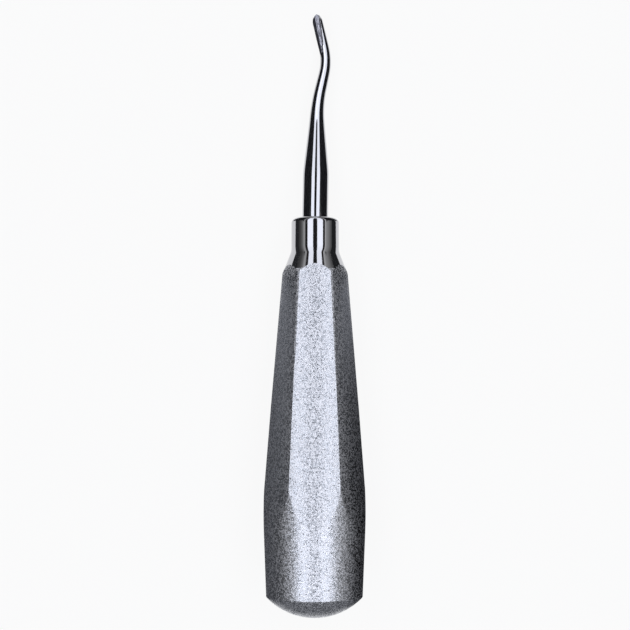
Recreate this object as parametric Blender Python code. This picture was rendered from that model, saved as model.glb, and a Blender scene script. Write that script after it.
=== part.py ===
# Serrated dental elevator, lying on one of the six facets of its handle with the tip toward +Y.
# Metres, +Z up. A station is a distance along the handle's axis, counted from the butt's apex.

import math

import bmesh
import bpy
from mathutils import Matrix, Vector

OVERALL_LENGTH = 0.1500

# The turned body of the handle.
HANDLE_LENGTH = 0.0980
DOME_RADIUS = 0.0163
BUTT_RADIUS = 0.01179
RIM_ROUND = 0.0006
BELLY_STATION = 0.0283
BELLY_CORNER_RADIUS = 0.01273
BELLY_ROUND = 0.130
SHOULDER_STATION = 0.0843
SHOULDER_RADIUS = 0.0081
SHOULDER_ROUND = 0.0020
FLARE_END = 0.0898
FLARE_ROUND = 0.0045
NECK_RADIUS = 0.00591
NECK_EDGE_ROUND = 0.0011
WALL = 0.0012

# The milled facets: each is crowned across, and its middle runs out at two stations.
FACET_COUNT = 6
FACET_CROWN_RADIUS = 0.0195
FACET_BUTT_END = 0.0220
FACET_NECK_END = 0.0861

# The shank: a tang in the handle's neck, a cylinder, a taper and a double bend.
SOCKET_CLEARANCE = 0.0003
TANG_LENGTH = 0.0140
TANG_CHAMFER = 0.0005
SHANK_RADIUS = 0.0032
TAPER_START = 0.1098
TAPER_START_ROUND = 0.028
WAIST_STATION = 0.1248
WAIST_RADIUS = 0.00166
WAIST_ROUND = 0.128
LEAN_START = 0.1000
FIRST_BEND_STATION = 0.1270
FIRST_BEND_OFFSET = 0.00043
FIRST_BEND_ROUND = 0.038
SECOND_BEND_STATION = 0.1380
SECOND_BEND_OFFSET = 0.00290
SECOND_BEND_ROUND = 0.015
TIP_OFFSET = 0.00004

# The blade: it widens to the tip, its back thins to an edge and its end is a rounded point.
# A power of 0.5 would make that point an ellipse, and 1 a parabola.
BLADE_START = 0.1380
BLADE_START_RADIUS = 0.00130
BLADE_HALF_WIDTH = 0.00160
POINT_LENGTH = 0.0023
POINT_POWER = 0.65
BLADE_BACK_THICKNESS = 0.00110
BACK_GRIND_LENGTH = 0.0060
TIP_BACK_THICKNESS = 0.00072
TIP_SKEW = -0.00030
FACE_TURN = math.radians(50)

# The hollow of the blade, ground by a serrated wheel that runs out short of the second bend.
GRIND_RADIUS = 0.0350
GRIND_CROWN_RADIUS = 0.00175
GRIND_HALF_WIDTH = 0.00165
GRIND_DEPTH_BELOW_AXIS = 0.00030
GRIND_LENGTH = 0.0150
GRIND_OVERRUN = 0.0020
SERRATION_PITCH = 0.00040
SERRATION_DEPTH = 0.00013

# How finely the round forms are faceted.
BODY_SEGMENTS = 72
CAVITY_SEGMENTS = 48
SHANK_SEGMENTS = 32
ARC_STEP = math.radians(9)
ARC_CHORD = 0.0022
FACET_STRIP_ANGLE = math.radians(5)
RING_STEP = 0.0009
TIP_RINGS = 7
GRIND_STEPS = 20
FILLET_SHARE = 0.45
WELD_DISTANCE = 1e-6
SHARP_ANGLE = math.radians(28)


def clear_scene():
    for item in list(bpy.data.objects):
        bpy.data.objects.remove(item, do_unlink=True)


def steel(name, colour, roughness):
    material = bpy.data.materials.new(name)
    material.use_nodes = True
    shader = material.node_tree.nodes["Principled BSDF"]
    shader.inputs["Base Color"].default_value = (*colour, 1)
    shader.inputs["Metallic"].default_value = 1
    shader.inputs["Roughness"].default_value = roughness
    return material


def rounded_path(corners):
    # Each corner is (station, radius, fillet). The fillet is an arc tangent to both sides,
    # limited to what the shorter side has room for.
    points = [Vector(corners[0][:2])]
    for before, corner, after in zip(corners, corners[1:], corners[2:]):
        here = Vector(corner[:2])
        back = Vector(before[:2]) - here
        ahead = Vector(after[:2]) - here
        turn = math.pi - back.angle(ahead)
        if not corner[2] or turn < WELD_DISTANCE:
            points.append(here)
            continue
        room = FILLET_SHARE * min(back.length, ahead.length)
        reach = min(corner[2] * math.tan(turn / 2), room)
        fillet = reach / math.tan(turn / 2)
        to_centre = (back.normalized() + ahead.normalized()).normalized()
        centre = here + to_centre * fillet / math.cos(turn / 2)
        arm = here + back.normalized() * reach - centre
        end = here + ahead.normalized() * reach - centre
        sweep = math.copysign(turn, arm.x * end.y - arm.y * end.x)
        steps = max(3, math.ceil(turn / ARC_STEP), math.ceil(turn * fillet / ARC_CHORD))
        for index in range(steps + 1):
            points.append(centre + Matrix.Rotation(sweep * index / steps, 2) @ arm)
    points.append(Vector(corners[-1][:2]))
    return points


def height_at(path, station):
    for start, end in zip(path, path[1:]):
        if start.x <= station <= end.x and start.x < end.x:
            share = (station - start.x) / (end.x - start.x)
            return start.y + share * (end.y - start.y)
    return path[-1].y if station > path[-1].x else path[0].y


def dome_corners(inset):
    # The butt is part of a sphere whose centre lies on the axis, DOME_RADIUS up from the apex.
    radius = DOME_RADIUS - inset
    half_angle = math.asin((BUTT_RADIUS - inset) / radius)
    steps = math.ceil(half_angle / ARC_STEP)
    corners = []
    for index in range(steps + 1):
        angle = half_angle * index / steps
        corners.append((DOME_RADIUS - radius * math.cos(angle), radius * math.sin(angle), 0))
    rim = corners.pop()
    corners.append((rim[0], rim[1], RIM_ROUND))
    return corners


def outer_profile():
    return rounded_path(dome_corners(0) + [
        (BELLY_STATION, BELLY_CORNER_RADIUS, BELLY_ROUND),
        (SHOULDER_STATION, SHOULDER_RADIUS, SHOULDER_ROUND),
        (FLARE_END, NECK_RADIUS, FLARE_ROUND),
        (HANDLE_LENGTH, NECK_RADIUS, NECK_EDGE_ROUND),
        (HANDLE_LENGTH, 0, 0),
    ])


def facet_taper():
    # Distance from the axis to the middle of a facet at the butt's apex, and its fall for each metre.
    profile = outer_profile()
    at_butt_end = height_at(profile, FACET_BUTT_END)
    at_neck_end = height_at(profile, FACET_NECK_END)
    fall = (at_butt_end - at_neck_end) / (FACET_NECK_END - FACET_BUTT_END)
    return at_butt_end + fall * FACET_BUTT_END, fall


def cavity_profile():
    # The hollow is turned: its wall is WALL at the dome and under the middle of each facet.
    # A cone then leads into the tang's bore, which runs out through the neck's face.
    start, fall = facet_taper()
    bore = SHANK_RADIUS + SOCKET_CLEARANCE
    cone_start = SHOULDER_STATION - WALL
    cone_radius = start - fall * cone_start - WALL
    outside = HANDLE_LENGTH + WALL
    return rounded_path(dome_corners(WALL) + [
        (FACET_BUTT_END, start - fall * FACET_BUTT_END - WALL, 0),
        (cone_start, cone_radius, 0),
        (cone_start + cone_radius - bore, bore, 0),
        (outside, bore, 0),
        (outside, 0, 0),
    ])


def turned_solid(profile, segments):
    mesh = bmesh.new()
    verts = [mesh.verts.new((0, point.x, point.y)) for point in profile]
    edges = [mesh.edges.new(pair) for pair in zip(verts, verts[1:])]
    bmesh.ops.spin(
        mesh, geom=verts + edges, cent=(0, 0, 0), axis=(0, 1, 0), angle=math.tau,
        steps=segments, use_merge=True,
    )
    bmesh.ops.remove_doubles(mesh, verts=mesh.verts, dist=WELD_DISTANCE)
    bmesh.ops.recalc_face_normals(mesh, faces=mesh.faces)
    return mesh


def mill_facets(mesh):
    # A facet's crown is cut in narrow strips. Each touches the crown's circle, whose centre
    # lies FACET_CROWN_RADIUS below the middle of the facet.
    start, fall = facet_taper()
    half_width = BELLY_CORNER_RADIUS * math.sin(math.pi / FACET_COUNT)
    strips = math.ceil(math.asin(half_width / FACET_CROWN_RADIUS) / FACET_STRIP_ANGLE)
    for index in range(FACET_COUNT):
        for strip in range(-strips, strips + 1):
            lean = strip * FACET_STRIP_ANGLE
            turn = math.tau * index / FACET_COUNT + lean
            outward = Vector((math.sin(turn), 0, math.cos(turn)))
            reach = (start - FACET_CROWN_RADIUS) * math.cos(lean) + FACET_CROWN_RADIUS
            cut = bmesh.ops.bisect_plane(
                mesh, geom=mesh.verts[:] + mesh.edges[:] + mesh.faces[:], dist=WELD_DISTANCE,
                plane_co=outward * reach, plane_no=outward + Vector((0, fall * math.cos(lean), 0)),
                clear_outer=True,
            )
            rim = [item for item in cut["geom_cut"] if isinstance(item, bmesh.types.BMEdge)]
            if rim:
                bmesh.ops.edgeloop_fill(mesh, edges=rim)
    bmesh.ops.recalc_face_normals(mesh, faces=mesh.faces)


def add_object(name, mesh, material, parent):
    data = bpy.data.meshes.new(name)
    mesh.to_mesh(data)
    mesh.free()
    data.materials.append(material)
    data.shade_smooth()
    data.set_sharp_from_angle(angle=SHARP_ANGLE)
    item = bpy.data.objects.new(name, data)
    item.parent = parent
    bpy.context.scene.collection.objects.link(item)
    return item


def cut_with(item, cutter):
    cutter.hide_render = True
    cutter.display_type = "WIRE"
    modifier = item.modifiers.new(cutter.name, "BOOLEAN")
    modifier.operation = "DIFFERENCE"
    modifier.solver = "EXACT"
    modifier.object = cutter


def make_handle(material, parent):
    # One closed shell: a turned body with six facets, hollow up to the bore in its neck.
    body = turned_solid(outer_profile(), BODY_SEGMENTS)
    mill_facets(body)
    handle = add_object("handle", body, material, parent)
    cavity = turned_solid(cavity_profile(), CAVITY_SEGMENTS)
    cut_with(handle, add_object("cavity", cavity, material, parent))


def shank_centreline():
    # The line runs on past the tip, so that it has a direction there too.
    slope = (TIP_OFFSET - SECOND_BEND_OFFSET) / (OVERALL_LENGTH - SECOND_BEND_STATION)
    return rounded_path([
        (HANDLE_LENGTH - TANG_LENGTH, 0, 0),
        (LEAN_START, 0, FIRST_BEND_ROUND),
        (FIRST_BEND_STATION, FIRST_BEND_OFFSET, FIRST_BEND_ROUND),
        (SECOND_BEND_STATION, SECOND_BEND_OFFSET, SECOND_BEND_ROUND),
        (OVERALL_LENGTH + RING_STEP, TIP_OFFSET + slope * RING_STEP, 0),
    ])


def shank_outline(blade_corners):
    return rounded_path([
        (HANDLE_LENGTH - TANG_LENGTH, SHANK_RADIUS - TANG_CHAMFER, 0),
        (HANDLE_LENGTH - TANG_LENGTH + TANG_CHAMFER, SHANK_RADIUS, 0),
        (TAPER_START, SHANK_RADIUS, TAPER_START_ROUND),
        (WAIST_STATION, WAIST_RADIUS, WAIST_ROUND),
        (BLADE_START, BLADE_START_RADIUS, WAIST_ROUND),
        *blade_corners,
    ])


def frame_at(centreline, station):
    # The centre of the shank at a station, the blade's width direction and its face's normal.
    offset = height_at(centreline, station)
    slope = (height_at(centreline, station + RING_STEP / 2)
             - height_at(centreline, station - RING_STEP / 2)) / RING_STEP
    sideways = Vector((1, -slope, 0)).normalized()
    up = Vector((0, 0, 1))
    width = sideways * math.cos(FACE_TURN) + up * math.sin(FACE_TURN)
    normal = up * math.cos(FACE_TURN) - sideways * math.sin(FACE_TURN)
    return Vector((offset, station, 0)), width, normal


def ring_stations():
    # Rings stand close where the shank tapers or bends, and closer still around the tip.
    tang_end = HANDLE_LENGTH - TANG_LENGTH
    stations = [tang_end, tang_end + TANG_CHAMFER, LEAN_START]
    point_start = OVERALL_LENGTH - POINT_LENGTH
    start = TAPER_START - 2 * RING_STEP
    count = math.ceil((point_start - start) / RING_STEP)
    for index in range(count):
        stations.append(start + (point_start - start) * index / count)
    for index in range(TIP_RINGS):
        angle = math.pi / 2 * index / TIP_RINGS
        stations.append(point_start + POINT_LENGTH * math.sin(angle))
    return stations


def make_blank():
    centreline = shank_centreline()
    sides = shank_outline([(OVERALL_LENGTH, BLADE_HALF_WIDTH, 0)])
    front = shank_outline([(OVERALL_LENGTH, BLADE_START_RADIUS, 0)])
    back = shank_outline([
        (OVERALL_LENGTH - BACK_GRIND_LENGTH, BLADE_BACK_THICKNESS, BACK_GRIND_LENGTH),
        (OVERALL_LENGTH, TIP_BACK_THICKNESS, 0),
    ])
    point_start = OVERALL_LENGTH - POINT_LENGTH
    mesh = bmesh.new()
    rings = []
    for station in ring_stations():
        centre, width, normal = frame_at(centreline, station)
        along = max(0, (station - point_start) / POINT_LENGTH)
        closing = (1 - along * along) ** POINT_POWER
        thinning = (1 + closing) / 2
        centre += width * TIP_SKEW * along * along
        ring = []
        for index in range(SHANK_SEGMENTS):
            angle = math.tau * index / SHANK_SEGMENTS
            depth = front if math.sin(angle) > 0 else back
            across = height_at(sides, station) * closing * math.cos(angle)
            height = height_at(depth, station) * thinning * math.sin(angle)
            ring.append(mesh.verts.new(centre + width * across + normal * height))
        rings.append(ring)
    for ring, following in zip(rings, rings[1:]):
        for index in range(SHANK_SEGMENTS):
            other = (index + 1) % SHANK_SEGMENTS
            mesh.faces.new((ring[index], ring[other], following[other], following[index]))
    mesh.faces.new(rings[0])
    centre, width, _ = frame_at(centreline, OVERALL_LENGTH)
    apex = mesh.verts.new(centre + width * TIP_SKEW)
    for index in range(SHANK_SEGMENTS):
        mesh.faces.new((rings[-1][index], rings[-1][(index + 1) % SHANK_SEGMENTS], apex))
    bmesh.ops.recalc_face_normals(mesh, faces=mesh.faces)
    return mesh


def make_grinding_wheel():
    # A sector of the wheel: its rim is crowned across the blade and has a V ridge per serration.
    tip, width, normal = frame_at(shank_centreline(), OVERALL_LENGTH)
    rim_bottom = tip - normal * GRIND_DEPTH_BELOW_AXIS
    ridges = round(2 * GRIND_HALF_WIDTH / SERRATION_PITCH)
    points = []
    for index in range(2 * ridges + 1):
        across = GRIND_HALF_WIDTH * (index / ridges - 1)
        rise = GRIND_CROWN_RADIUS - math.sqrt(GRIND_CROWN_RADIUS ** 2 - across ** 2)
        ridge = SERRATION_DEPTH * (index % 2)
        points.append(rim_bottom + width * across + normal * (rise - ridge))
    hub_side = normal * GRIND_RADIUS / 4
    points.append(points[-1] + hub_side)
    points.append(points[0] + hub_side)
    mesh = bmesh.new()
    verts = [mesh.verts.new(point) for point in points]
    profile = mesh.faces.new(verts)
    hub = rim_bottom + normal * GRIND_RADIUS
    forward = GRIND_OVERRUN / GRIND_RADIUS
    bmesh.ops.rotate(mesh, verts=verts, cent=hub, matrix=Matrix.Rotation(forward, 3, width))
    bmesh.ops.spin(
        mesh, geom=[profile, *profile.edges, *verts], cent=hub, axis=width,
        angle=-forward - GRIND_LENGTH / GRIND_RADIUS, steps=GRIND_STEPS,
    )
    bmesh.ops.recalc_face_normals(mesh, faces=mesh.faces)
    return mesh


def make_working_end(material, parent):
    # One forged piece, from the tang to the serrated hollow of the blade.
    blade = add_object("working_end", make_blank(), material, parent)
    cut_with(blade, add_object("grinding_wheel", make_grinding_wheel(), material, parent))


def make_rest_frame():
    # Turns the axis down by the facets' taper, so that the lowest facet lies on the ground.
    start, fall = facet_taper()
    tilt = math.atan(fall)
    frame = bpy.data.objects.new("rest_frame", None)
    frame.rotation_euler = (-tilt, 0, 0)
    frame.location = (0, -OVERALL_LENGTH / 2 * math.cos(tilt), start * math.cos(tilt))
    bpy.context.scene.collection.objects.link(frame)
    return frame


def main():
    clear_scene()
    frame = make_rest_frame()
    make_handle(steel("blasted_steel", (0.50, 0.50, 0.53), 0.42), frame)
    make_working_end(steel("polished_steel", (0.58, 0.58, 0.60), 0.08), frame)


main()
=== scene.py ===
import math

import bmesh
import bpy
from mathutils import Matrix, Vector


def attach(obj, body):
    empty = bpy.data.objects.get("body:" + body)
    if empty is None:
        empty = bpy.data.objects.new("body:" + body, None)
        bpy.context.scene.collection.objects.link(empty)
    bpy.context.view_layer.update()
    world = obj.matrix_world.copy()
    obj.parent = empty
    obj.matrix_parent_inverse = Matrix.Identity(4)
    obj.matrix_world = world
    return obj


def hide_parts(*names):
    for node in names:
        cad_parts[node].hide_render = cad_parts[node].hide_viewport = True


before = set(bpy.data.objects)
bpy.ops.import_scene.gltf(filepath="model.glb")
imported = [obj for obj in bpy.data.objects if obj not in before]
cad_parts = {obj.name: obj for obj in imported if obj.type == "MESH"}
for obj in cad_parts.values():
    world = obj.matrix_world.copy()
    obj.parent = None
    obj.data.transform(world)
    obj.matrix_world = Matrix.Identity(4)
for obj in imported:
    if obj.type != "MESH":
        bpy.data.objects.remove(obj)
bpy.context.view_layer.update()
print("frame loaded:", sorted(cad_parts))


def hexColour(code):
    # sRGB hex to the linear values that shaders take.
    channels = [int(code[place:place + 2], 16) / 255 for place in (0, 2, 4)]
    return [c / 12.92 if c <= 0.04045 else ((c + 0.055) / 1.055) ** 2.4 for c in channels] + [1]


def grey(level):
    return (level, level, level, 1)


def addNode(tree, kind, settings=None, values=None, links=None, stops=None):
    # Stops are the (position, colour) pairs of a colour ramp, in order.
    node = tree.nodes.new(kind)
    for name, value in (settings or {}).items():
        setattr(node, name, value)
    for name, value in (values or {}).items():
        node.inputs[name].default_value = value
    for name, socket in (links or {}).items():
        tree.links.new(socket, node.inputs[name])
    if stops:
        elements = node.color_ramp.elements
        first, *middle, last = stops
        for index, (position, colour) in enumerate((first, last)):
            elements[index].position = position
            elements[index].color = colour
        for position, colour in middle:
            elements.new(position).color = colour
    return node


def newMaterial(name):
    material = bpy.data.materials.new(name)
    material.use_nodes = True
    material.node_tree.nodes.clear()
    return material, material.node_tree


rounding = {
    "arcStep": math.radians(4),   # one step of a rounded corner turns at most this far
    "arcChord": 0.0008,           # and is at most this long
    "leastSteps": 4,
    "legShare": 0.45,             # a fillet takes at most this share of the shorter leg
    "straight": 1e-6,             # a corner that turns less than this has no fillet
}


def roundedPath(corners):
    # Each corner is (along, height, fillet), and its fillet becomes an arc of short steps.
    points = [Vector(corners[0][:2])]
    for before, corner, after in zip(corners, corners[1:], corners[2:]):
        here = Vector(corner[:2])
        back = Vector(before[:2]) - here
        ahead = Vector(after[:2]) - here
        turn = math.pi - back.angle(ahead)
        if not corner[2] or turn < rounding["straight"]:
            points.append(here)
            continue
        most = rounding["legShare"] * min(back.length, ahead.length)
        reach = min(corner[2] * math.tan(turn / 2), most)
        fillet = reach / math.tan(turn / 2)
        toCentre = (back.normalized() + ahead.normalized()).normalized()
        centre = here + toCentre * fillet / math.cos(turn / 2)
        arm = here + back.normalized() * reach - centre
        end = here + ahead.normalized() * reach - centre
        sweep = math.copysign(turn, arm.x * end.y - arm.y * end.x)
        steps = max(rounding["leastSteps"], math.ceil(turn / rounding["arcStep"]),
                    math.ceil(turn * fillet / rounding["arcChord"]))
        for index in range(steps + 1):
            points.append(centre + Matrix.Rotation(sweep * index / steps, 2) @ arm)
    points.append(Vector(corners[-1][:2]))
    return points


def heightAt(path, station):
    # Past either end of the path, the height stays that of the end.
    for start, end in zip(path, path[1:]):
        if start.x <= station <= end.x and start.x < end.x:
            share = (station - start.x) / (end.x - start.x)
            return start.y + share * (end.y - start.y)
    return path[-1].y if station > path[-1].x else path[0].y


def cutAt(mesh, place, normal, keepInner=False, tolerance=1e-7):
    return bmesh.ops.bisect_plane(mesh, geom=mesh.verts[:] + mesh.edges[:] + mesh.faces[:],
                                  dist=tolerance, plane_co=place, plane_no=normal,
                                  clear_outer=keepInner)


def addObject(name, mesh, materials):
    data = bpy.data.meshes.new(name)
    mesh.to_mesh(data)
    mesh.free()
    for material in materials:
        data.materials.append(material)
    item = bpy.data.objects.new(name, data)
    bpy.context.scene.collection.objects.link(item)
    return item


def addPiece(name, mesh, materials, place=Matrix()):
    # Each piece is shaped along the handle's axis, and restMatrix lays it down.
    bmesh.ops.transform(mesh, matrix=restMatrix @ place, verts=mesh.verts)
    bmesh.ops.recalc_face_normals(mesh, faces=mesh.faces)
    piece = addObject(name, mesh, materials)
    piece.data.shade_smooth()
    return piece


# A station is a distance along the handle's axis, counted from the butt's apex.
# Profile corners are (station, radius, fillet), in metres.
handleSize = {
    "length": 0.0980,
    "domeRadius": 0.0163,
    "domeStep": math.radians(2),
    "buttRadius": 0.01179,
    "rimRound": 0.0006,
    "belly": (0.0283, 0.01273, 0.130),
    "shoulder": (0.0843, 0.0081, 0.0020),
    "flareEnd": (0.0898, 0.00591, 0.0045),
    "neckEdgeRound": 0.0011,
    "boreRadius": 0.00323,   # the shank fits it with no visible gap
    "boreDepth": 0.0140,
    "facetCount": 6,
    "facetCrown": 0.0195,    # each facet is crowned across, and its middle runs out at two stations
    "facetButtEnd": 0.0220,
    "facetNeckEnd": 0.0861,
    "stripAngle": math.radians(2.5),   # a crowned facet is cut in strips that turn by this much
    "polishStart": 0.0850,   # from here to the neck's face the turned surface is polished
    "turnSteps": 180,
    "mergeDistance": 1e-6,
    "ringStep": 0.0025,      # cuts across the facets keep their faces from being long and thin
    "firstRing": 4,
    "sharpAngle": math.radians(9),
}
boreEnd = handleSize["length"] - handleSize["boreDepth"]


def handleProfile():
    size = handleSize
    halfAngle = math.asin(size["buttRadius"] / size["domeRadius"])
    steps = math.ceil(halfAngle / size["domeStep"])
    corners = []
    for index in range(steps + 1):
        angle = halfAngle * index / steps
        fillet = size["rimRound"] if index == steps else 0
        along = size["domeRadius"] * (1 - math.cos(angle))
        corners.append((along, size["domeRadius"] * math.sin(angle), fillet))
    neck = size["flareEnd"][1]
    return roundedPath(corners + [
        size["belly"],
        size["shoulder"],
        size["flareEnd"],
        (size["length"], neck, size["neckEdgeRound"]),
        (size["length"], size["boreRadius"], 0),
        (boreEnd, size["boreRadius"], 0),
        (boreEnd, 0, 0),
    ])


def facetTaper():
    # How far a facet's middle lies from the axis at the butt's apex, and its fall for each metre.
    size = handleSize
    atButtEnd = heightAt(handleProfile(), size["facetButtEnd"])
    atNeckEnd = heightAt(handleProfile(), size["facetNeckEnd"])
    fall = (atButtEnd - atNeckEnd) / (size["facetNeckEnd"] - size["facetButtEnd"])
    return atButtEnd + fall * size["facetButtEnd"], fall


facetStart, facetFall = facetTaper()


def makeHandle(blasted, polished):
    # The profile is turned round the axis, then each facet is cut strip by strip.
    # Faces of material 0 are blasted and those of material 1 polished.
    size = handleSize
    alongAxis = Vector((0, 1, 0))
    mesh = bmesh.new()
    verts = [mesh.verts.new((0, point.x, point.y)) for point in handleProfile()]
    edges = [mesh.edges.new(pair) for pair in zip(verts, verts[1:])]
    bmesh.ops.spin(mesh, geom=verts + edges, cent=(0, 0, 0), axis=alongAxis, angle=math.tau,
                   steps=size["turnSteps"], use_merge=True)
    bmesh.ops.remove_doubles(mesh, verts=mesh.verts, dist=size["mergeDistance"])
    bmesh.ops.recalc_face_normals(mesh, faces=mesh.faces)
    cutAt(mesh, alongAxis * size["polishStart"], alongAxis)
    for face in mesh.faces:
        face.material_index = 1 if face.calc_center_median().y > size["polishStart"] else 0
    halfWidth = size["belly"][1] * math.sin(math.pi / size["facetCount"])
    strips = math.ceil(math.asin(halfWidth / size["facetCrown"]) / size["stripAngle"])
    for index in range(size["facetCount"]):
        for strip in range(-strips, strips + 1):
            lean = strip * size["stripAngle"]
            turn = math.tau * index / size["facetCount"] + lean
            outward = Vector((math.sin(turn), 0, math.cos(turn)))
            reach = (facetStart - size["facetCrown"]) * math.cos(lean) + size["facetCrown"]
            cut = cutAt(mesh, outward * reach, outward + Vector((0, facetFall * math.cos(lean), 0)), True)
            rim = [item for item in cut["geom_cut"] if isinstance(item, bmesh.types.BMEdge)]
            if rim:
                for face in bmesh.ops.edgeloop_fill(mesh, edges=rim)["faces"]:
                    face.material_index = 0
    count = math.floor(size["facetNeckEnd"] / size["ringStep"])
    for index in range(size["firstRing"], count):
        cutAt(mesh, Vector((0, index * size["ringStep"], 0)), alongAxis)
    bmesh.ops.recalc_face_normals(mesh, faces=mesh.faces)
    for edge in mesh.edges:
        finishes = {face.material_index for face in edge.link_faces}
        edge.smooth = len(finishes) == 1 and edge.calc_face_angle(0) < size["sharpAngle"]
    return addPiece("handle_shell", mesh, [blasted, polished])


# Outline corners are (station, radius, fillet), and bends are (station, offset to the right, fillet).
shankSize = {
    "overallLength": 0.1500,
    "radius": 0.0032,
    "taperStart": (0.1098, 0.0032, 0.028),
    "waist": (0.1248, 0.00166, 0.128),
    "bladeStart": (0.1380, 0.00130, 0.128),
    "leanStart": (0.1000, 0, 0.038),
    "firstBend": (0.1270, 0.00043, 0.038),
    "secondBend": (0.1380, 0.00290, 0.015),
    "tipOffset": 0.00004,
    "bladeHalfWidth": 0.00160,
    "bladeBack": 0.00110,
    "backGrindLength": 0.0060,
    "tipBack": 0.00072,
    "pointLength": 0.0023,
    "pointPower": 0.65,
    "tipSkew": -0.00030,
    "faceTurn": math.radians(50),   # the blade's face turns this far from straight up to the left
    "endGap": 0.0003,               # from the bore's end to the tang
    "segments": 96,
    "tangRings": 4,
    "ringStep": 0.0003,
    "tipRings": 16,
}

tilt = math.atan(facetFall)
# The axis falls toward the tip by the facets' taper, so that the lowest facet lies on the ground.
restMatrix = (
    Matrix.Translation((0, -shankSize["overallLength"] / 2 * math.cos(tilt), facetStart * math.cos(tilt)))
    @ Matrix.Rotation(-tilt, 4, "X")
)


def shankCentreline():
    # The line runs on past the tip, so that it has a direction there too.
    size = shankSize
    bend = size["secondBend"]
    slope = (size["tipOffset"] - bend[1]) / (size["overallLength"] - bend[0])
    beyond = (size["overallLength"] + size["ringStep"], size["tipOffset"] + slope * size["ringStep"], 0)
    return roundedPath([(boreEnd, 0, 0), size["leanStart"], size["firstBend"], bend, beyond])


def shankOutline(bladeCorners):
    size = shankSize
    return roundedPath([
        (boreEnd, size["radius"], 0), size["taperStart"], size["waist"], size["bladeStart"],
        *bladeCorners,
    ])


def frameAt(centreline, station):
    # Local axes of the blade: across its face, out of its face, and toward the tip.
    size = shankSize
    step = size["ringStep"] / 2
    slope = (heightAt(centreline, station + step) - heightAt(centreline, station - step)) / step / 2
    sideways = Vector((1, -slope, 0)).normalized()
    up = Vector((0, 0, 1))
    across = sideways * math.cos(size["faceTurn"]) + up * math.sin(size["faceTurn"])
    outward = up * math.cos(size["faceTurn"]) - sideways * math.sin(size["faceTurn"])
    along = outward.cross(across)
    place = Matrix((across, outward, along)).transposed().to_4x4()
    place.translation = Vector((heightAt(centreline, station), station, 0))
    return place


def makeBlank(polished):
    # Rings are bridged along the centreline, and close in on each other over the point.
    size = shankSize
    length = size["overallLength"]
    centreline = shankCentreline()
    sides = shankOutline([(length, size["bladeHalfWidth"], 0)])
    front = shankOutline([(length, size["bladeStart"][1], 0)])
    back = shankOutline([
        (length - size["backGrindLength"], size["bladeBack"], size["backGrindLength"]),
        (length, size["tipBack"], 0),
    ])
    start = boreEnd + size["endGap"]
    bendStart = handleSize["length"]
    pointStart = length - size["pointLength"]
    stations = [start + (bendStart - start) * index / size["tangRings"]
                for index in range(size["tangRings"])]
    count = math.ceil((pointStart - bendStart) / size["ringStep"])
    stations += [bendStart + (pointStart - bendStart) * index / count for index in range(count)]
    for index in range(size["tipRings"]):
        angle = math.pi / 2 * index / size["tipRings"]
        stations.append(pointStart + size["pointLength"] * math.sin(angle))
    mesh = bmesh.new()
    previous = None
    for station in stations:
        along = max(0, (station - pointStart) / size["pointLength"])
        closing = (1 - along * along) ** size["pointPower"]
        thinning = (1 + closing) / 2
        ring = bmesh.ops.create_circle(mesh, segments=size["segments"], radius=1)["verts"]
        width = heightAt(sides, station) * closing
        for vert in ring:
            depth = heightAt(front if vert.co.y > 0 else back, station) * thinning
            vert.co = (vert.co.x * width + size["tipSkew"] * along * along, vert.co.y * depth, 0)
        bmesh.ops.transform(mesh, matrix=frameAt(centreline, station), verts=ring)
        edges = list(dict.fromkeys(edge for vert in ring for edge in vert.link_edges))
        if previous is None:
            bmesh.ops.edgeloop_fill(mesh, edges=edges)
        else:
            bmesh.ops.bridge_loops(mesh, edges=previous + edges)
        previous = edges
    bmesh.ops.edgeloop_fill(mesh, edges=previous)
    return addPiece("blade_and_shank", mesh, [polished])


grindSize = {
    "wheelRadius": 0.0350,
    "crownRadius": 0.00175,
    "halfWidth": 0.00165,
    "rimDepth": 0.00875,
    "depthBelowAxis": 0.00030,
    "length": 0.0150,
    "overrun": 0.0020,
    "pitch": 0.00040,
    "fluteDepth": 0.00013,
    "pointsPerFlute": 8,
    "steps": 120,
    "sharpAngle": math.radians(25),
}


def makeWheel(ground):
    # The rim of the grinding wheel: crowned across the blade, with one rib for each flute.
    size = grindSize
    place = frameAt(shankCentreline(), shankSize["overallLength"])
    flutes = round(2 * size["halfWidth"] / size["pitch"])
    count = flutes * size["pointsPerFlute"]
    mesh = bmesh.new()
    verts = []
    for index in range(count + 1):
        across = size["halfWidth"] * (2 * index / count - 1)
        rise = size["crownRadius"] - math.sqrt(size["crownRadius"] ** 2 - across ** 2)
        rib = size["fluteDepth"] * abs(math.sin(math.pi * flutes * index / count))
        verts.append(mesh.verts.new((across, rise - rib - size["depthBelowAxis"], 0)))
    top = verts[-1].co.y + size["rimDepth"]
    verts.append(mesh.verts.new((size["halfWidth"], top, 0)))
    verts.append(mesh.verts.new((-size["halfWidth"], top, 0)))
    profile = mesh.faces.new(verts)
    hub = Vector((0, size["wheelRadius"] - size["depthBelowAxis"], 0))
    forward = -size["overrun"] / size["wheelRadius"]
    bmesh.ops.rotate(mesh, verts=verts, cent=hub, matrix=Matrix.Rotation(forward, 3, "X"))
    bmesh.ops.spin(mesh, geom=[profile, *profile.edges, *verts], cent=hub, axis=(1, 0, 0),
                   angle=size["length"] / size["wheelRadius"] - forward, steps=size["steps"])
    return addPiece("grinding_wheel", mesh, [ground], place)


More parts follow.
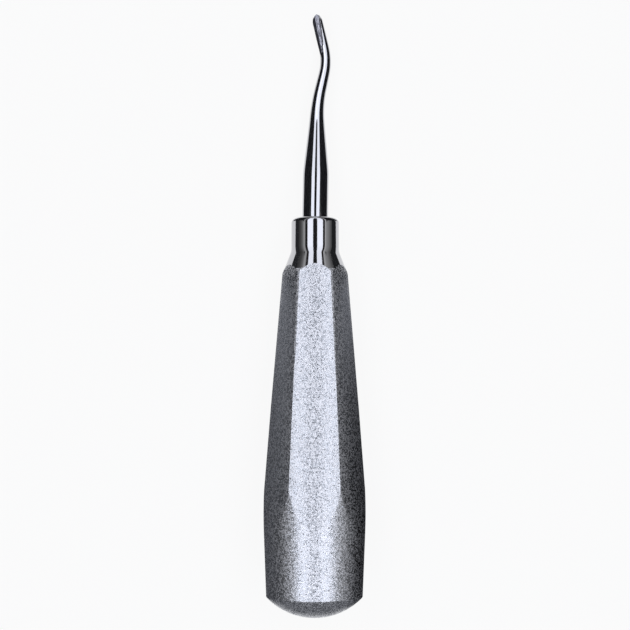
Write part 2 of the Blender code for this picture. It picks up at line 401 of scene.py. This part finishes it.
def makeBlade(polished, ground):
    blade = makeBlank(polished)
    wheel = makeWheel(ground)
    cut = blade.modifiers.new("hollow", "BOOLEAN")
    cut.operation = "DIFFERENCE"
    cut.solver = "EXACT"
    cut.material_mode = "TRANSFER"   # the hollow gets the wheel's ground steel
    cut.object = wheel
    graph = bpy.context.evaluated_depsgraph_get()
    cutMesh = bpy.data.meshes.new_from_object(blade.evaluated_get(graph))
    blade.modifiers.clear()
    blade.data = cutMesh
    bpy.data.objects.remove(wheel, do_unlink=True)
    blade.data.set_sharp_from_angle(angle=grindSize["sharpAngle"])
    return blade


blastedLook = {
    "dimple": 0.00009,                 # as wide as the dent that a fine glass bead leaves
    "grain": 0.00030,                  # dimples in bunches, drawn coarser than the real ones to show
    "tones": ("c6c9d0", "f2f3f9"),     # of dark and light grains
    "toneSplit": (0.4, 0.6),           # this share of the grains is dark, and from here on they are light
    "roughness": (0.20, 0.45),         # dark grains are glossy pits and light ones are rough
    "tilt": 0.32,                      # how far each dimple's own slope leans, across its full range
    "sparkleTilt": 0.9,                # the same in the few grains that sparkle
    "sparkleShare": 0.04,
}


def makeBlastedSteel():
    # Stainless steel after blasting with glass beads: satin, with a salt and pepper grain.
    # Each dimple leans its own way, which spreads the softboxes' light over the gap between them.
    look = blastedLook
    material, tree = newMaterial("bead_blasted_stainless_steel")
    place = addNode(tree, "ShaderNodeTexCoord").outputs["Object"]
    dimples = addNode(tree, "ShaderNodeTexVoronoi", values={"Scale": 1 / look["dimple"]},
                      links={"Vector": place})
    grain = addNode(tree, "ShaderNodeTexVoronoi", values={"Scale": 1 / look["grain"]},
                    links={"Vector": place})
    chance = addNode(tree, "ShaderNodeTexWhiteNoise", settings={"noise_dimensions": "3D"},
                     links={"Vector": grain.outputs["Color"]}).outputs["Value"]
    tone = addNode(tree, "ShaderNodeValToRGB", links={"Fac": chance},
                   stops=list(zip(look["toneSplit"], map(hexColour, look["tones"]))))
    rough = addNode(tree, "ShaderNodeMapRange", values={
        "From Min": look["toneSplit"][0], "From Max": look["toneSplit"][1],
        "To Min": look["roughness"][0], "To Max": look["roughness"][1]}, links={"Value": chance})
    flash = addNode(tree, "ShaderNodeMath", settings={"operation": "LESS_THAN"},
                    values={1: look["sparkleShare"]}, links={0: chance})
    lean = addNode(tree, "ShaderNodeMapRange", values={
        "To Min": look["tilt"], "To Max": look["sparkleTilt"]}, links={"Value": flash.outputs["Value"]})
    centred = addNode(tree, "ShaderNodeVectorMath", settings={"operation": "SUBTRACT"},
                      values={1: (0.5, 0.5, 0.5)}, links={0: dimples.outputs["Color"]})
    offset = addNode(tree, "ShaderNodeVectorMath", settings={"operation": "SCALE"}, links={
        0: centred.outputs["Vector"], "Scale": lean.outputs["Result"]})
    normal = addNode(tree, "ShaderNodeNewGeometry").outputs["Normal"]
    leaning = addNode(tree, "ShaderNodeVectorMath", settings={"operation": "ADD"}, links={
        0: normal, 1: offset.outputs["Vector"]})
    unit = addNode(tree, "ShaderNodeVectorMath", settings={"operation": "NORMALIZE"},
                   links={0: leaning.outputs["Vector"]})
    shader = addNode(tree, "ShaderNodeBsdfPrincipled", values={"Metallic": 1}, links={
        "Base Color": tone.outputs["Color"], "Roughness": rough.outputs["Result"],
        "Normal": unit.outputs["Vector"]})
    addNode(tree, "ShaderNodeOutputMaterial", links={"Surface": shader.outputs["BSDF"]})
    return material


polishedLook = {
    "colour": "c4c4c8",
    "patches": 900,              # for each metre, as buffing leaves them about a millimetre wide
    "detail": 3,
    "roughness": (0.04, 0.10),
}


def makePolishedSteel():
    # Stainless steel buffed to a mirror. Fine buffing marks soften it a little in patches.
    look = polishedLook
    material, tree = newMaterial("mirror_polished_stainless_steel")
    place = addNode(tree, "ShaderNodeTexCoord").outputs["Object"]
    marks = addNode(tree, "ShaderNodeTexNoise", values={
        "Scale": look["patches"], "Detail": look["detail"]}, links={"Vector": place})
    rough = addNode(tree, "ShaderNodeMapRange", values={
        "To Min": look["roughness"][0], "To Max": look["roughness"][1]},
                    links={"Value": marks.outputs["Fac"]})
    shader = addNode(tree, "ShaderNodeBsdfPrincipled", values={
        "Metallic": 1, "Base Color": hexColour(look["colour"])},
                     links={"Roughness": rough.outputs["Result"]})
    addNode(tree, "ShaderNodeOutputMaterial", links={"Surface": shader.outputs["BSDF"]})
    return material


groundLook = {
    "lean": math.radians(11),          # the scratches point this far off the handle's line
    "scratches": (3600, 220, 3600),    # for each metre, drawn about ten times as wide as real to show
    "detail": 3,
    "tones": ("484850", "d0d0da"),
    "toneSplit": (0.35, 0.65),
    # painted shade: the dark colour given to the far flute in place of its shade and dark reflection
    "paintedShade": "2a2a2e",
    "paintedShadeEdge": (0.01380, 0.01410),     # where the painted shade on the far flute ends, across the blade
    "roughness": (0.12, 0.25),
    "scratchDepth": 0.00003,
    "bumpStrength": 0.4,
}


def makeGroundSteel():
    # The same steel straight off the grinding wheel: scratches run along each flute, and the
    # flute at the far edge, which curls up, gets a painted shade: a dark colour mixed in by place.
    look = groundLook
    material, tree = newMaterial("wheel_ground_stainless_steel")
    place = addNode(tree, "ShaderNodeTexCoord").outputs["Object"]
    turned = addNode(tree, "ShaderNodeVectorRotate", settings={"rotation_type": "Z_AXIS"},
                     values={"Angle": -look["lean"]}, links={"Vector": place})
    stretch = addNode(tree, "ShaderNodeMapping", values={"Scale": look["scratches"]},
                      links={"Vector": turned.outputs["Vector"]})
    scratches = addNode(tree, "ShaderNodeTexNoise", values={"Scale": 1, "Detail": look["detail"]},
                        links={"Vector": stretch.outputs["Vector"]})
    tone = addNode(tree, "ShaderNodeValToRGB", links={"Fac": scratches.outputs["Fac"]},
                   stops=list(zip(look["toneSplit"], map(hexColour, look["tones"]))))
    # The place across the blade decides where the painted shade of the far flute is mixed in.
    split = addNode(tree, "ShaderNodeSeparateXYZ", links={"Vector": turned.outputs["Vector"]})
    across = addNode(tree, "ShaderNodeMapRange", values={
        "From Min": look["paintedShadeEdge"][0], "From Max": look["paintedShadeEdge"][1]},
                     links={"Value": split.outputs["X"]})
    # A Mix node's colours are its inputs 6 and 7 and its output 2.
    withPaintedShade = addNode(tree, "ShaderNodeMix", settings={"data_type": "RGBA"},
                    values={6: hexColour(look["paintedShade"])},
                    links={"Factor": across.outputs["Result"], 7: tone.outputs["Color"]})
    rough = addNode(tree, "ShaderNodeMapRange", values={
        "To Min": look["roughness"][0], "To Max": look["roughness"][1]},
                    links={"Value": scratches.outputs["Fac"]})
    bump = addNode(tree, "ShaderNodeBump", values={
        "Strength": look["bumpStrength"], "Distance": look["scratchDepth"]},
                   links={"Height": scratches.outputs["Fac"]})
    shader = addNode(tree, "ShaderNodeBsdfPrincipled", values={"Metallic": 1}, links={
        "Base Color": withPaintedShade.outputs[2], "Roughness": rough.outputs["Result"],
        "Normal": bump.outputs["Normal"]})
    addNode(tree, "ShaderNodeOutputMaterial", links={"Surface": shader.outputs["BSDF"]})
    return material


def addStage(name, mesh, material):
    item = addObject(name, mesh, [material])
    return item


floorLook = {
    "size": 6.0,
    "colour": "e6e6e6",
    "glow": 0.9,       # how far the paper is washed out to white for camera and steel
    "drop": 0.00005,   # the paper lies this far under the handle's lowest facet
}


def seenShare(tree, share):
    # The background that the camera sees also shows in the steel.
    path = addNode(tree, "ShaderNodeLightPath")
    seen = addNode(tree, "ShaderNodeMath", settings={"operation": "MAXIMUM"}, links={
        0: path.outputs["Is Camera Ray"], 1: path.outputs["Is Glossy Ray"]})
    through = addNode(tree, "ShaderNodeMath", settings={"operation": "MAXIMUM"}, links={
        0: seen.outputs["Value"], 1: path.outputs["Is Transmission Ray"]})
    return addNode(tree, "ShaderNodeMath", settings={"operation": "MULTIPLY"}, values={1: share},
                   links={0: through.outputs["Value"]}).outputs["Value"]


def makeFloor():
    mesh = bmesh.new()
    bmesh.ops.create_grid(mesh, x_segments=1, y_segments=1, size=floorLook["size"] / 2)
    material, tree = newMaterial("matt_white_paper")
    paper = addNode(tree, "ShaderNodeBsdfDiffuse", values={"Color": hexColour(floorLook["colour"])})
    glow = addNode(tree, "ShaderNodeEmission", values={"Color": grey(1), "Strength": 1})
    mix = addNode(tree, "ShaderNodeMixShader", links={
        0: seenShare(tree, floorLook["glow"]), 1: paper.outputs["BSDF"], 2: glow.outputs["Emission"]})
    addNode(tree, "ShaderNodeOutputMaterial", links={"Surface": mix.outputs["Shader"]})
    addStage("floor", mesh, material).location = (0, 0, -floorLook["drop"])


cards = {
    # (y, x) along the inner edge of each lying card
    "leftEdge": [(-0.091, 0), (-0.085, 0.015), (-0.04, 0.0155), (-0.02, 0.0135), (0.0105, 0.0125),
                 (0.013, 0.0165), (0.015, 0.0225), (0.017, 0.0295), (0.030, 0.0297), (0.032, 0.0309),
                 (0.041, 0.0435), (0.0488, 0.0525), (0.08, 0.087)],
    "rightEdge": [(-0.091, 0), (-0.085, 0.012), (-0.04, 0.013), (-0.02, 0.0125), (0.0105, 0.0125),
                  (0.013, 0.0165), (0.015, 0.0204), (0.024, 0.0210), (0.029, 0.0280),
                  (0.0378, 0.0375), (0.0511, 0.0545), (0.08, 0.085)],
    "reach": 2.9,
    "spread": 30,       # the outer edge is this many times as long as the inner one
    # (y, albedo) along each lying card, which is black from the neck on
    "leftTones": [(-0.095, 0.15), (-0.082, 0.08), (-0.045, 0.10), (-0.02, 0.15), (0.008, 0.25),
                  (0.0115, 0.04), (0.02, 0.04)],
    "rightTones": [(-0.095, 0.15), (-0.082, 0.005), (-0.045, 0.01), (-0.02, 0.05), (0.008, 0.25),
                   (0.0115, 0.03), (0.02, 0.03)],
    "toneReach": 0.1,   # the tones' ramp runs this far each way from the middle
    # the standing black cards beside the shank
    "flagColour": "3a3a3c",
    "flagOffset": 0.012,
    "flagStart": 0.0243,
    "flagEnd": 0.085,
    "flagHeight": 0.018,
}


def addCard(name, mesh, material):
    # Only the steel sees a card.
    card = addStage(name, mesh, material)
    card.visible_camera = False
    card.visible_diffuse = False
    card.visible_shadow = False


def makeCards():
    # Two dark cards lie on the paper beside the instrument.
    reach = cards["toneReach"]
    for side, name, edge, tones in ((-1, "card_left", cards["leftEdge"], cards["leftTones"]),
                                    (1, "card_right", cards["rightEdge"], cards["rightTones"])):
        material, tree = newMaterial(name + "_grey_to_black")
        place = addNode(tree, "ShaderNodeTexCoord").outputs["Object"]
        split = addNode(tree, "ShaderNodeSeparateXYZ", links={"Vector": place})
        along = addNode(tree, "ShaderNodeMapRange", values={"From Min": -reach, "From Max": reach},
                        links={"Value": split.outputs["Y"]})
        tone = addNode(tree, "ShaderNodeValToRGB", links={"Fac": along.outputs["Result"]},
                       stops=[((y + reach) / (2 * reach), grey(level)) for y, level in tones])
        paint = addNode(tree, "ShaderNodeBsdfDiffuse", links={"Color": tone.outputs["Color"]})
        addNode(tree, "ShaderNodeOutputMaterial", links={"Surface": paint.outputs["BSDF"]})
        mesh = bmesh.new()
        inner = [mesh.verts.new((side * x, y, 0)) for y, x in edge]
        outer = [mesh.verts.new((side * cards["reach"] if vert.co.x else 0,
                                 vert.co.y * cards["spread"], 0)) for vert in inner]
        for index in range(len(inner) - 1):
            mesh.faces.new((inner[index], inner[index + 1], outer[index + 1], outer[index]))
        addCard(name, mesh, material)
    # Two black ones stand beside the shank.
    black, tree = newMaterial("matt_black_card")
    paint = addNode(tree, "ShaderNodeBsdfDiffuse", values={"Color": hexColour(cards["flagColour"])})
    addNode(tree, "ShaderNodeOutputMaterial", links={"Surface": paint.outputs["BSDF"]})
    start, end, top = cards["flagStart"], cards["flagEnd"], cards["flagHeight"]
    for side, name in ((-1, "flag_left"), (1, "flag_right")):
        x = side * cards["flagOffset"]
        mesh = bmesh.new()
        mesh.faces.new([mesh.verts.new(corner) for corner in (
            (x, start, 0), (x, end, 0), (x, end, top), (x, start, top))])
        addCard(name, mesh, black)


lamps = {
    "height": 0.60,
    "inner": math.radians(10.2),   # the gap between the softboxes is where the camera stands
    "outer": (math.radians(37), math.radians(37.8)),
    "length": 2.8,
    "radiance": 1.85,
    "colour": (0.96, 0.99, 1.07),
    # (share of the length from the butt's side, brightness): brightest close to the butt
    "fall": [(0, 0.8), (0.35, 0.97), (0.46, 1.0), (0.54, 0.88), (0.6, 0.8), (1, 0.7)],
    # a strip lamp low over the end of the shank closes the gap there
    "stripSize": (0.012, 0.029),
    "stripPlace": (0, 0.0735, 0.030),
    "stripShare": 0.85,
}


def makeLights():
    height = lamps["height"]
    inner = height * math.tan(lamps["inner"])
    outer = [height * math.tan(angle) for angle in lamps["outer"]]
    for name, size, place, brightness in (
            ("softbox_left", (outer[0] - inner, lamps["length"]), (-(inner + outer[0]) / 2, 0, height), 1),
            ("softbox_right", (outer[1] - inner, lamps["length"]), ((inner + outer[1]) / 2, 0, height), 1),
            ("strip", lamps["stripSize"], lamps["stripPlace"], lamps["stripShare"])):
        light = bpy.data.lights.new(name, "AREA")
        light.shape = "RECTANGLE"
        light.color = lamps["colour"]
        light.size, light.size_y = size
        light.energy = brightness * lamps["radiance"] * math.pi * light.size * light.size_y
        lamp = bpy.data.objects.new(name, light)
        lamp.location = place
        lamp.visible_camera = False
        if name == "strip":
            lamp.visible_diffuse = False   # it shows in the steel and doesn't light the paper
        else:
            light.use_nodes = True
            tree = light.node_tree
            spot = addNode(tree, "ShaderNodeNewGeometry").outputs["Parametric"]
            split = addNode(tree, "ShaderNodeSeparateXYZ", links={"Vector": spot})
            fall = addNode(tree, "ShaderNodeValToRGB", links={"Fac": split.outputs["Y"]},
                           stops=[(share, grey(level)) for share, level in lamps["fall"]])
            tree.links.new(fall.outputs["Color"], tree.nodes["Emission"].inputs["Color"])
        bpy.context.scene.collection.objects.link(lamp)


room = {
    # (height as a sine, brightness) up the side walls, seen along the instrument
    "leftWall": [(0, 0.04), (0.26, 0.09), (0.42, 0.20), (0.5, 0.33), (0.56, 0.48), (0.63, 0.40),
                 (0.66, 0.02), (1, 0.02)],
    "rightWall": [(0, 0.07), (0.16, 0.15), (0.36, 0.28), (0.54, 0.38), (0.6, 0.55), (0.645, 0.65),
                  (0.665, 0.02), (1, 0.02)],
}


def makeWorld():
    # A dim room with a grey glow from its long side walls. The camera sees white behind the floor.
    world = bpy.data.worlds.new("studio")
    world.use_nodes = True
    tree = world.node_tree
    tree.nodes.clear()
    direction = addNode(tree, "ShaderNodeTexCoord").outputs["Generated"]
    split = addNode(tree, "ShaderNodeSeparateXYZ", links={"Vector": direction})
    across = addNode(tree, "ShaderNodeCombineXYZ", links={
        "X": split.outputs["X"], "Z": split.outputs["Z"]})
    slope = addNode(tree, "ShaderNodeVectorMath", settings={"operation": "NORMALIZE"},
                    links={0: across.outputs["Vector"]})
    height = addNode(tree, "ShaderNodeSeparateXYZ", links={"Vector": slope.outputs["Vector"]})
    left, right = [addNode(tree, "ShaderNodeValToRGB", links={"Fac": height.outputs["Z"]},
                           stops=[(sine, grey(level)) for sine, level in wall]).outputs["Color"]
                   for wall in (room["leftWall"], room["rightWall"])]
    isRight = addNode(tree, "ShaderNodeMath", settings={"operation": "GREATER_THAN"}, values={1: 0},
                      links={0: split.outputs["X"]})
    both = addNode(tree, "ShaderNodeMix", settings={"data_type": "RGBA"}, links={
        "Factor": isRight.outputs["Value"], 6: left, 7: right})
    dim = addNode(tree, "ShaderNodeBackground", links={"Color": both.outputs[2]})
    white = addNode(tree, "ShaderNodeBackground", values={"Color": grey(1)})
    path = addNode(tree, "ShaderNodeLightPath")
    mix = addNode(tree, "ShaderNodeMixShader", links={
        0: path.outputs["Is Camera Ray"], 1: dim.outputs["Background"], 2: white.outputs["Background"]})
    addNode(tree, "ShaderNodeOutputWorld", links={"Surface": mix.outputs["Shader"]})
    bpy.context.scene.world = world


camera = {
    "height": 0.390,
    "alongY": -0.00099,
    "pixelsPerMetre": 4035,   # at the height of the handle's axis under the camera
    "axisHeight": 0.0080,
    "sensorWidth": 36,        # in millimetres
    "imageWidth": 630,
    "roll": 0.0022,
    "clipStart": 0.01,
}


def makeCamera():
    data = bpy.data.cameras.new("camera")
    distance = camera["height"] - camera["axisHeight"]
    viewWidth = camera["imageWidth"] / camera["pixelsPerMetre"]
    data.sensor_width = camera["sensorWidth"]
    data.lens = data.sensor_width * distance / viewWidth
    data.clip_start = camera["clipStart"]
    item = bpy.data.objects.new("camera", data)
    item.location = (0, camera["alongY"], camera["height"])
    item.rotation_euler = (0, 0, camera["roll"])
    bpy.context.scene.collection.objects.link(item)
    bpy.context.scene.camera = item


blasted = makeBlastedSteel()
polished = makePolishedSteel()
ground = makeGroundSteel()
print("materials made")

handle = makeHandle(blasted, polished)
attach(handle, "root")
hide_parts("handle")
print("handle made:", len(handle.data.polygons), "faces")

blade = makeBlade(polished, ground)
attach(blade, "root")
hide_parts("working_end")
print("blade made:", len(blade.data.polygons), "faces")

makeFloor()
makeCards()
makeLights()
makeWorld()
makeCamera()
bpy.context.scene.view_settings.view_transform = "Standard"
print("studio made")
